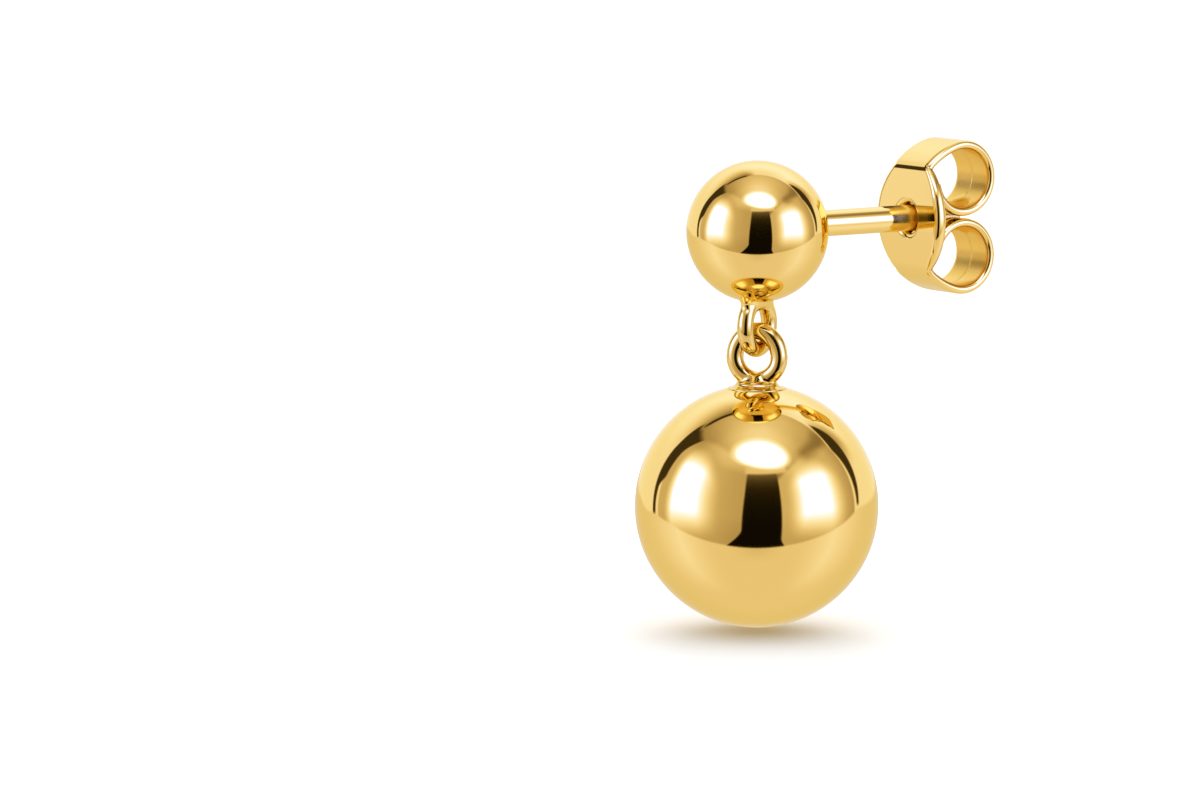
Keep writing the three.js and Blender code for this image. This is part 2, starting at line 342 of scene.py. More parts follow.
@dataclass(frozen=True)
class DistanceSolid:
    """A solid given by its signed distance, with the grid to look for its surface on."""

    distance: FieldFunction
    lines: tuple[GridLine, GridLine, GridLine]
    passes: int = 3
    least_slope: float = 0.05
    slope_share: float = 1 / 12

    def skin(self) -> Skin:
        """Finds the surface where the distance is nothing.

        Returns:
            The surface, with one vertex in each cell that it passes through.
        """
        axes = [line.places() for line in self.lines]
        grid = self.distance(axes[0][:, None, None], axes[1][None, :, None], axes[2][None, None, :])
        grid = np.ascontiguousarray(np.broadcast_to(grid, [len(a) for a in axes]))
        inside = grid < 0
        corners = [(i, j, k) for i in (0, 1) for j in (0, 1) for k in (0, 1)]
        cells = tuple(n - 1 for n in grid.shape)

        def shifted(values: Array, corner: tuple[int, int, int]) -> Array:
            """The values at one corner of every cell."""
            return values[tuple(slice(c, c + n) for c, n in zip(corner, cells))]

        count = sum(shifted(inside, corner).astype(np.int8) for corner in corners)
        active = (count > 0) & (count < len(corners))
        index = np.full(cells, -1)
        index[active] = np.arange(active.sum())
        where = np.argwhere(active)
        total = np.zeros((len(where), 3))
        hits = np.zeros(len(where))
        for corner in corners:
            for axis in range(3):
                if corner[axis]:
                    continue
                other = tuple(c + (n == axis) for n, c in enumerate(corner))
                start = shifted(grid, corner)[active]
                end = shifted(grid, other)[active]
                crossed = (start < 0) != (end < 0)
                share = np.where(crossed, start / np.where(crossed, start - end, 1.0), 0.0)
                place = np.tile(np.array(corner, float), (len(where), 1))
                place[:, axis] += share
                total += place * crossed[:, None]
                hits += crossed
        counted = where + total / hits[:, None]
        points = np.stack([np.interp(counted[:, n], np.arange(len(a)), a) for n, a in enumerate(axes)], axis=1)
        points, normals = self._settled(points)
        return Skin(points, self._faces(inside, index).tolist(), normals)

    def _settled(self, points: Array) -> tuple[Array, Array]:
        """Moves points onto the surface.

        Args:
            points: Points close to the surface.

        Returns:
            The points on the surface, and the directions it faces there.
        """
        start = points
        slope = self._slope(points)
        for _ in range(self.passes):
            value = self.distance(*points.T)
            points = points - slope * (value / np.maximum((slope**2).sum(axis=1), self.least_slope))[:, None]
            points = start + np.clip(points - start, -self.lines[0].step, self.lines[0].step)
        slope = self._slope(points)
        return points, slope / np.maximum(np.linalg.norm(slope, axis=1), 1e-9)[:, None]

    def _slope(self, points: Array) -> Array:
        """Measures how the distance changes round each point.

        Args:
            points: The points, one per row.

        Returns:
            The change of distance for each step along the three axes.
        """
        reach = self.lines[0].step * self.slope_share
        slope = np.empty_like(points)
        for axis in range(3):
            step = np.zeros(3)
            step[axis] = reach
            slope[:, axis] = (self.distance(*(points + step).T) - self.distance(*(points - step).T)) / (2 * reach)
        return slope

    @staticmethod
    def _faces(inside: Array, index: Array) -> Array:
        """Joins the cells round every crossed edge of the grid.

        Args:
            inside: Whether each grid point is inside the solid.
            index: The vertex of each cell.

        Returns:
            The faces, as four vertices each, facing outwards.
        """
        faces = []
        for axis in range(3):
            one, two = (axis + 1) % 3, (axis + 2) % 3
            low = [slice(None)] * 3
            high = [slice(None)] * 3
            low[axis], high[axis] = slice(0, -1), slice(1, None)
            for side in (one, two):
                low[side] = high[side] = slice(1, -1)
            start, end = inside[tuple(low)], inside[tuple(high)]
            for crossing, outward in ((start & ~end, True), (~start & end, False)):
                at = np.argwhere(crossing)
                at[:, one] += 1
                at[:, two] += 1
                ring = []
                for back_one, back_two in ((1, 1), (0, 1), (0, 0), (1, 0)):
                    cell = at.copy()
                    cell[:, one] -= back_one
                    cell[:, two] -= back_two
                    ring.append(index[tuple(cell.T)])
                if not outward:
                    ring.reverse()
                faces.append(np.stack(ring, axis=1))
        return np.concatenate(faces)


def ball_skin(radius: float, divisions: int) -> Skin:
    """Makes a ball whose faces are nearly even, with no poles.

    Args:
        radius: The ball's radius.
        divisions: Faces along each side of the cube that it is blown up from.

    Returns:
        The ball's surface, about its centre.
    """
    line = np.tan(np.linspace(-math.pi / 4, math.pi / 4, divisions + 1))
    across, up = (grid.ravel() for grid in np.meshgrid(line, line, indexing="ij"))
    ones = np.ones_like(across)
    sheet = np.arange((divisions + 1) ** 2).reshape(divisions + 1, divisions + 1)
    quads = np.stack([sheet[:-1, :-1], sheet[1:, :-1], sheet[1:, 1:], sheet[:-1, 1:]], axis=-1).reshape(-1, 4)
    points, faces = [], []
    for axis in range(3):
        for sign in (1, -1):
            side = np.empty((len(across), 3))
            side[:, axis] = sign * ones
            side[:, (axis + 1) % 3] = across * sign
            side[:, (axis + 2) % 3] = up
            faces.append(quads + len(points) * len(across))
            points.append(side)
    stacked = np.concatenate(points)
    directions = stacked / np.linalg.norm(stacked, axis=1)[:, None]
    keys, inverse = np.unique(np.round(directions, 7), axis=0, return_inverse=True)
    unit = keys / np.linalg.norm(keys, axis=1)[:, None]
    return Skin(unit * radius, inverse.ravel()[np.concatenate(faces)].tolist(), unit)


def turned_skin(profile: Array, sides: int) -> Skin:
    """Spins a profile round the Y axis.

    Args:
        profile: Rows of radius and distance back, from front to back, both ends on the axis.
        sides: Steps round the axis.

    Returns:
        The surface, closed at both ends by a fan.
    """
    rise = np.gradient(profile, axis=0)
    facing = np.stack([rise[:, 1], -rise[:, 0]], axis=1)
    facing /= np.linalg.norm(facing, axis=1)[:, None]
    angle = np.linspace(0, 2 * math.pi, sides, endpoint=False)
    rings, outward = [], []
    for (radius, back), (out, along) in zip(profile[1:-1], facing[1:-1]):
        rings.append(np.stack([radius * np.cos(angle), np.full(sides, back), radius * np.sin(angle)], axis=1))
        outward.append(np.stack([out * np.cos(angle), np.full(sides, along), out * np.sin(angle)], axis=1))
    ends = [[[0.0, profile[end, 1], 0.0]] for end in (0, -1)]
    points = np.concatenate(rings + ends)
    normals = np.concatenate(outward + [[[0.0, -1.0, 0.0]], [[0.0, 1.0, 0.0]]])
    last = (len(rings) - 1) * sides
    faces = []
    for step in range(sides):
        after = (step + 1) % sides
        faces += [[row + after, row + step, row + sides + step, row + sides + after] for row in range(0, last, sides)]
        faces.append([last + sides, step, after])
        faces.append([last + sides + 1, last + after, last + step])
    return Skin(points, faces, normals)


# ---- shader maths ----

Operand = Union["Signal", float]


class Signal:
    """One socket of a node tree, as a number that Python can reckon with."""

    def __init__(self, graph: "Graph", socket: bpy.types.NodeSocket) -> None:
        """Keeps the socket and the tree that it belongs to."""
        self.graph = graph
        self.socket = socket

    def __add__(self, other: Operand) -> "Signal":
        """This plus other."""
        return self.graph.maths("ADD", self, other)

    __radd__ = __add__

    def __sub__(self, other: Operand) -> "Signal":
        """This less other."""
        return self.graph.maths("SUBTRACT", self, other)

    def __rsub__(self, other: Operand) -> "Signal":
        """Other less this."""
        return self.graph.maths("SUBTRACT", other, self)

    def __mul__(self, other: Operand) -> "Signal":
        """This times other."""
        return self.graph.maths("MULTIPLY", self, other)

    __rmul__ = __mul__

    def __truediv__(self, other: Operand) -> "Signal":
        """This over other."""
        return self.graph.maths("DIVIDE", self, other)

    def __rtruediv__(self, other: Operand) -> "Signal":
        """Other over this."""
        return self.graph.maths("DIVIDE", other, self)

    def __pow__(self, other: Operand) -> "Signal":
        """This to the power of other."""
        return self.graph.maths("POWER", self, other)

    def __rpow__(self, other: Operand) -> "Signal":
        """Other to the power of this."""
        return self.graph.maths("POWER", other, self)

    def __abs__(self) -> "Signal":
        """This without its sign."""
        return self.graph.maths("ABSOLUTE", self)

    def at_least(self, other: Operand) -> "Signal":
        """The larger of this and other."""
        return self.graph.maths("MAXIMUM", self, other)

    def at_most(self, other: Operand) -> "Signal":
        """The smaller of this and other."""
        return self.graph.maths("MINIMUM", self, other)

    def above(self, edge: Operand, soft: float) -> "Signal":
        """Rises smoothly from 0 to 1 as this passes an edge.

        Args:
            edge: Where the rise is half done.
            soft: How far on each side of the edge the rise reaches.

        Returns:
            The mask.
        """
        return self.graph.node(
            "ShaderNodeMapRange",
            {"interpolation_type": "SMOOTHSTEP"},
            {"Value": (self - edge) / soft, "From Min": -1.0, "From Max": 1.0},
        )

    def between(self, low: Operand, high: Operand, soft: float) -> "Signal":
        """Is 1 between two edges and 0 outside them."""
        return self.above(low, soft) * (1 - self.above(high, soft))

    def mixed(self, other: Operand, mask: "Signal") -> "Signal":
        """Goes from this to other as a mask goes from 0 to 1."""
        return self + (other - self) * mask


class Graph:
    """A node tree, to which nodes are added by type."""

    def __init__(self, tree: bpy.types.NodeTree) -> None:
        """Empties the tree and keeps it."""
        self.tree = tree
        tree.nodes.clear()

    def node(
        self, kind: str, settings: dict[str, Any], inputs: dict[Union[str, int], Any], output: Union[str, int] = 0
    ) -> Signal:
        """Adds a node.

        Args:
            kind: The node's type.
            settings: Its properties, set before its sockets. "stops" fills a colour ramp.
            inputs: What goes into its sockets, by name or number: a value or another signal.
            output: The socket that is wanted.

        Returns:
            The output socket.
        """
        return Signal(self, self._made(kind, settings, inputs).outputs[output])

    def close(self, kind: str, shader: Signal) -> None:
        """Ends the tree in an output node of the kind given."""
        self._made(kind, {}, {"Surface": shader})

    def _made(self, kind: str, settings: dict[str, Any], inputs: dict[Union[str, int], Any]) -> bpy.types.Node:
        """Adds a node, sets it up and links it.

        Args:
            kind: The node's type.
            settings: Its properties, set before its sockets.
            inputs: What goes into its sockets, by name or number.

        Returns:
            The node.
        """
        made = self.tree.nodes.new(kind)
        for name, value in settings.items():
            if name == "stops":
                self._fill_ramp(made.color_ramp, value)
            else:
                setattr(made, name, value)
        for name, value in inputs.items():
            if isinstance(value, Signal):
                self.tree.links.new(value.socket, made.inputs[name])
            else:
                made.inputs[name].default_value = value
        return made

    @staticmethod
    def _fill_ramp(ramp: bpy.types.ColorRamp, stops: Sequence[tuple[float, Sequence[float]]]) -> None:
        """Sets a colour ramp's stops.

        Args:
            ramp: The ramp, with two stops to begin with.
            stops: Each stop's place and colour.
        """
        for _ in range(len(stops) - len(ramp.elements)):
            ramp.elements.new(1.0)
        for element, (place, colour) in zip(ramp.elements, stops):
            element.position = place
            element.color = (*colour, 1.0)

    def maths(self, operation: str, *operands: Operand) -> Signal:
        """Adds a Math node over its operands."""
        return self.node("ShaderNodeMath", {"operation": operation}, dict(enumerate(operands)))

    def vector(self, operation: str, *operands: Any, output: Union[str, int] = 0) -> Signal:
        """Adds a Vector Math node over its operands."""
        return self.node("ShaderNodeVectorMath", {"operation": operation}, dict(enumerate(operands)), output)

    def part(self, vector: Signal, axis: Sequence[float]) -> Signal:
        """How far a vector reaches along an axis."""
        return self.vector("DOT_PRODUCT", vector, tuple(axis), output="Value")

    def colour_mix(self, mask: Operand, first: Any, second: Any, blend: str = "MIX") -> Signal:
        """Adds a Mix node for colours.

        Args:
            mask: How much of the second colour there is.
            first: The first colour.
            second: The second colour.
            blend: How they are mixed.

        Returns:
            The mixed colour.
        """
        return self.node(
            "ShaderNodeMix", {"data_type": "RGBA", "blend_type": blend}, {0: mask, 6: first, 7: second}, 2
        )

    def noise(self, place: Signal, size: float, detail: float) -> Signal:
        """Adds a noise.

        Args:
            place: Where on the piece, in metres.
            size: How large its blotches are, in millimetres.
            detail: How many finer layers it has.

        Returns:
            The noise, about one half.
        """
        return self.node(
            "ShaderNodeTexNoise", {}, {"Vector": place, "Scale": 1 / (size * MM), "Detail": detail, "Roughness": 0.5}
        )


# ---- finishes ----

GOLD = (0.91, 0.65, 0.15)  # how much red, green and blue the plating reflects
GOLD_EDGE = (1.0, 0.97, 0.62)  # keeps the same colour where the metal is seen at a slant


@dataclass(frozen=True)
class PolishedGold:
    """Gold plate polished to a mirror, with the faint blotches and hairlines that polishing leaves."""

    name: str = "polished_gold"
    colour: Colour = GOLD
    warmth: Colour = (1.0, 0.985, 0.95)
    roughness: float = 0.045
    blotch: float = 0.015
    blotch_size: float = 2.2
    grain_size: float = 0.12
    hairline_depth: float = 0.00002
    hairline_size: float = 0.5
    hairline_stretch: tuple[float, float, float] = (1.0, 1.0, 9.0)

    def material(self) -> bpy.types.Material:
        """Builds the material.

        Returns:
            The material, in nodes that can be baked.
        """
        made = bpy.data.materials.new(self.name)
        made.use_nodes = True
        graph = Graph(made.node_tree)
        place = graph.node("ShaderNodeTexCoord", {}, {}, "Object")
        soft = graph.noise(place, self.blotch_size, detail=2.0)
        fine = graph.noise(place, self.grain_size, detail=3.0)
        warm = tuple(shade * share for shade, share in zip(self.colour, self.warmth))
        colour = graph.colour_mix(soft, (*self.colour, 1.0), (*warm, 1.0))
        polish = self.roughness + self.blotch * (soft - 0.5) + self.blotch * (fine - 0.5)
        bump = graph.node(
            "ShaderNodeBump", {}, {"Height": self._relief(graph, place), "Distance": MM, "Strength": 1.0}
        )
        shader = graph.node(
            "ShaderNodeBsdfPrincipled",
            {},
            {
                "Base Color": self._tint(graph, place, colour),
                "Metallic": 1.0,
                "Roughness": self._roughness(graph, place, polish),
                "Specular Tint": (*GOLD_EDGE, 1.0),
                "Normal": bump,
            },
        )
        graph.close("ShaderNodeOutputMaterial", shader)
        return made

    def _roughness(self, graph: Graph, place: Signal, polish: Signal) -> Signal:
        """How rough the metal is at each place."""
        return polish

    def _tint(self, graph: Graph, place: Signal, colour: Signal) -> Signal:
        """The metal's colour at each place."""
        return colour

    def _relief(self, graph: Graph, place: Signal) -> Signal:
        """The height of the finest marks at each place, in millimetres: here the polisher's hairlines."""
        stretched = graph.vector("MULTIPLY", place, self.hairline_stretch)
        return self.hairline_depth * graph.noise(stretched, self.hairline_size, detail=4.0)


@dataclass(frozen=True)
class PostGold(PolishedGold):
    """The post's gold, rubbed to satin by the clutch towards its tip."""

    name: str = "post_gold"
    satin: float = 0.31
    rubbed_from: Step = (3.0, 0.25)

    def _roughness(self, graph: Graph, place: Signal, polish: Signal) -> Signal:
        """Polished by the ball, and satin where the clutch grips."""
        return polish.mixed(self.satin, (graph.part(place, BACK) / MM).above(*self.rubbed_from))


@dataclass(frozen=True)
class LinkGold(PolishedGold):
    """The link's gold: a little softer below the solder collar, where no wheel can follow the wire, and painted a
    deeper gold there as painted shade on the wires and the cap.
    """

    name: str = "link_gold"
    soft_polish: float = 0.08
    # painted shade: this deeper gold darkens the wires and the cap below the collar
    painted_shade_gold: Colour = (0.82, 0.57, 0.125)
    collar_foot: Step = (-2.62, 0.14)

    def _below(self, graph: Graph, place: Signal) -> Signal:
        """Masks what hangs below the collar."""
        return 1 - (graph.part(place, UP) / MM).above(*self.collar_foot)

    def _roughness(self, graph: Graph, place: Signal, polish: Signal) -> Signal:
        """Mirror polish on the collar, and a softer one on the wires and the cap."""
        return polish.mixed(self.soft_polish, self._below(graph, place))

    def _tint(self, graph: Graph, place: Signal, colour: Signal) -> Signal:
        """Painted shade: a deeper gold on the wires and the cap."""
        return graph.colour_mix(self._below(graph, place), colour, (*self.painted_shade_gold, 1.0))


@dataclass(frozen=True)
class ClutchGold(PolishedGold):
    """The clutch's gold: polished outside, and left satin inside the curls, where no wheel reaches; a deeper gold is
    painted there as painted shade.

    Half way along each curl's inside runs the fine line where the strip was slit.
    """

    name: str = "clutch_gold"
    curl_centre: tuple[float, float] = (5.45, 1.30)
    bore_edge: Step = (1.005, 0.02)
    satin: float = 0.30
    near_satin: float = 0.28
    near_side: Step = (0.0, 0.02)
    line_edge: Step = (0.015, 0.015)
    line_depth: float = 0.006
    # painted shade: this deeper gold darkens the insides of the two curls
    painted_shade_gold: Colour = (0.90, 0.57, 0.085)

    def _inside(self, graph: Graph, place: Signal) -> Signal:
        """Masks the insides of the two curls.

        Args:
            graph: The material's tree.
            place: Where on the piece, in metres.

        Returns:
            1 inside the curls, and 0 elsewhere.
        """
        back = graph.part(place, BACK) / MM - self.curl_centre[0]
        up = abs(graph.part(place, UP)) / MM - self.curl_centre[1]
        return 1 - ((back * back + up * up) ** 0.5).above(*self.bore_edge)

    def _across(self, graph: Graph, place: Signal) -> Signal:
        """How far each place is across the strip, in millimetres."""
        return graph.part(place, ACROSS) / MM

    def _roughness(self, graph: Graph, place: Signal, polish: Signal) -> Signal:
        """Satin inside the two curls, a little smoother on one side of the line, and polished outside them."""
        satin = self.satin + (self.near_satin - self.satin) * self._across(graph, place).above(*self.near_side)
        return polish.mixed(satin, self._inside(graph, place))

    def _tint(self, graph: Graph, place: Signal, colour: Signal) -> Signal:
        """Painted shade: a deeper gold inside the two curls."""
        return graph.colour_mix(self._inside(graph, place), colour, (*self.painted_shade_gold, 1.0))

    def _relief(self, graph: Graph, place: Signal) -> Signal:
        """The hairlines, and the fine line inside the curls."""
        line = 1 - abs(self._across(graph, place)).above(*self.line_edge)
        return super()._relief(graph, place) - self.line_depth * line * self._inside(graph, place)


# ---- the stud ----


@dataclass
class Stud:
    """The ball stud: ball, post and eyelet soldered into one.

    The collar's rows are how far below the ball's foot they are, and half the collar's depth and width there.
    """

    ball_radius: float = 2.325
    ball_divisions: int = 72
    post_radius: float = 0.435
    post_sides: int = 128
    side_places: int = 40
    tip_rounding: float = 0.1
    tip_places: int = 6
    eyelet_radius: float = 0.795
    eyelet_wire: float = 0.27
    eyelet_drop: float = 3.068
    eyelet_turn: float = 26.0
    solder_fillet: float = 0.15
    collar_rounding: float = 0.04
    collar_places: int = 200
    cell: float = 0.02
    collar: tuple[tuple[float, float, float], ...] = (
        (-0.36, 1.20, 0.64),
        (-0.28, 1.10, 0.56),
        (-0.20, 1.03, 0.49),
        (-0.10, 0.95, 0.40),
        (0.00, 0.88, 0.32),
        (0.10, 0.82, 0.25),
        (0.22, 0.68, 0.15),
    )

    def build(
        self, material: bpy.types.Material, post_material: bpy.types.Material, link_material: bpy.types.Material
    ) -> None:
        """Makes the stud's three pieces.

        Args:
            material: The finish of the ball.
            post_material: The finish of the post.
            link_material: The finish of the eyelet.
        """
        centre = hinge() + (0.0, 0.0, self.eyelet_drop + self.eyelet_radius)
        ball = ball_skin(self.ball_radius, self.ball_divisions).moved(centre)
        ball.piece("stud_ball", Body.STUD, "stud", Slot.POLISHED, material)
        self._post().piece("post", Body.STUD, "stud", Slot.POLISHED, post_material)
        eyelet = self._eyelet().turned(self.eyelet_turn).moved(centre)
        eyelet.piece("eyelet", Body.STUD, "stud", Slot.POLISHED, link_material)

    def _post(self) -> Skin:
        """Turns the post.

        Returns:
            The post, from inside the ball to its rounded tip, along the Y axis.
        """
        start, end = -self.ball_radius / 2, corners("stud")[1][1]
        corner = (self.post_radius - self.tip_rounding, end - self.tip_rounding)
        tip = arc_points(corner, self.tip_rounding, 0, 90, step=7.5)
        side = np.linspace((self.post_radius, start), (self.post_radius, corner[1]), self.side_places)
        flat = np.linspace((corner[0], end), (0.0, end), self.tip_places)
        return turned_skin(np.concatenate([[[0.0, start]], side, tip[1:], flat[1:]]), self.post_sides)

    def _eyelet(self) -> Skin:
        """Makes the eyelet.

        Returns:
            The ring and the solder collar that joins it to the ball, about the ball's centre.
        """
        drops, alongs, acrosses = np.array(self.collar).T
        fine = np.linspace(drops[0], drops[-1], self.collar_places)
        along_line = smooth_curve(drops, alongs, fine)
        across_line = smooth_curve(drops, acrosses, fine)

        def distance(x: Array, y: Array, z: Array) -> Array:
            """Measures to the ring and collar.

            Args:
                x: Places across the ring's plane.
                y: Places along the ring's plane.
                z: Places up.

            Returns:
                The signed distance.
            """
            ring = np.hypot(np.hypot(y, z + self.eyelet_drop) - self.eyelet_radius, x) - self.eyelet_wire
            drop = -z - self.ball_radius
            side = oval_wall(x, y, np.interp(drop, fine, across_line), np.interp(drop, fine, along_line))
            ends = np.maximum(drop - drops[-1], drops[0] - drop)
            return smooth_least(ring, smooth_most(side, ends, self.collar_rounding), self.solder_fillet)

        bottom = self.eyelet_drop + self.eyelet_radius + self.eyelet_wire
        low = (-acrosses.max(), -alongs.max(), -bottom)
        high = (acrosses.max(), alongs.max(), -self.ball_radius - drops[0])
        return DistanceSolid(distance, tuple(GridLine(a, b, self.cell) for a, b in zip(low, high))).skin()


# ---- the drop ----


@dataclass
class Drop:
    """The hanging ball, with the cap and loop that it hangs by.

    The bell's rows are how far out they are, and how high above the ball's top.
    """

    ball_radius: float = 4.0
    ball_divisions: int = 96
    hang: float = 1.18
    loop_turn: float = 40.0
    loop_radius: float = 0.745
    loop_wire: float = 0.285
    loop_stretch: float = 1.15
    loop_foot: float = 27.5
    loop_centre: float = 0.919
    foot_places: int = 16
    cap_radius: float = 0.975
    cap_foot: float = -0.2
    seat_depth: float = 0.02
    foot_fillet: float = 0.10
    cell: float = 0.02
    rim_cell: float = 0.01
    rim_bands: Bands = ((-0.16, -0.02),)
    drum: tuple[float, float] = (0.70, 0.62)
    drum_rounding: float = 0.04
    bell: tuple[tuple[float, float], ...] = (
        (0.00, 0.415),
        (0.20, 0.375),
        (0.28, 0.325),
        (0.40, 0.205),
        (0.475, 0.125),
        (0.55, 0.09),
        (0.62, 0.075),
        (1.10, 0.03),
    )
    bell_places: int = 300
    flange_thickness: float = 0.028
    flange_rounding: float = 0.02
    flare: float = 0.13

    def build(self, material: bpy.types.Material, link_material: bpy.types.Material) -> None:
        """Makes the ball, and the cap with its loop.

        Args:
            material: The finish of the ball.
            link_material: The finish of the cap and loop.
        """
        top = hinge() - (0.0, 0.0, self.hang)
        ball = ball_skin(self.ball_radius, self.ball_divisions).moved(top - (0.0, 0.0, self.ball_radius))
        ball.piece("drop_ball_polished", Body.DROP, "drop_ball", Slot.POLISHED, material)
        cap = self._cap().turned(self.loop_turn).moved(top)
        cap.piece("cap_and_loop", Body.DROP, "drop_cap", Slot.POLISHED, link_material)

    def _loop_line(self) -> PlaneCurve:
        """Lays out the right half of the loop's centre line.

        Returns:
            The line about the loop's centre, from its top to its foot on the cap's axis.
        """
        radius = self.loop_radius
        upper = arc_points((0.0, 0.0), radius, 90, 0, step=2.0) * (1.0, self.loop_stretch)
        lower = arc_points((0.0, 0.0), radius, 0, self.loop_foot - 90, step=2.0)
        foot = math.radians(self.loop_foot)
        share = np.linspace(0, 1, self.foot_places)[1:, None]
        end = lower[-1] - radius * math.tan(foot) * np.array([math.cos(foot), math.sin(foot)])
        return PlaneCurve(np.concatenate([upper, lower[1:], lower[-1] * (1 - share) + end * share]))

    def _cap(self) -> Skin:
        """Makes the cap.

        Returns:
            The turned cap with the loop that stands on it, from the top of the ball.
        """
        line = self._loop_line()
        radii, heights = np.array(self.bell).T
        fine = np.linspace(0.0, radii[-1], self.bell_places)
        top_line = smooth_curve(radii, heights, fine)
        steepness = np.hypot(1.0, np.gradient(top_line, fine))

        def distance(x: Array, y: Array, z: Array) -> Array:
            """Measures to the cap and loop.

            Args:
                x: Places along the loop's plane.
                y: Places across the loop's plane.
                z: Places up.

            Returns:
                The signed distance.
            """
            to_line = line.nearest(np.abs(x), z - self.loop_centre)[0]
            loop = np.hypot(to_line, y) - self.loop_wire
            out = np.hypot(x, y)
            bell = (z - np.interp(out, fine, top_line)) / np.interp(out, fine, steepness)
            drum = smooth_most(oval_wall(x, y, *self.drum), bell, self.drum_rounding)
            above = np.hypot(out, z + self.ball_radius) - self.ball_radius
            flange = smooth_most(above - self.flange_thickness, out - self.cap_radius, self.flange_rounding)
            cap = smooth_least(drum, flange, self.flare)
            metal = smooth_least(loop, cap, self.foot_fillet)
            return np.maximum(metal, -self.seat_depth - above)

        top = self.loop_centre + self.loop_radius * self.loop_stretch + self.loop_wire
        wide = self.loop_radius + self.loop_wire
        lines = (
            GridLine(-wide, wide, self.cell),
            GridLine(-self.cap_radius, self.cap_radius, self.cell),
            GridLine(self.cap_foot, top, self.cell, self.rim_cell, self.rim_bands),
        )
        return DistanceSolid(distance, lines).skin()


# ---- the clutch ----


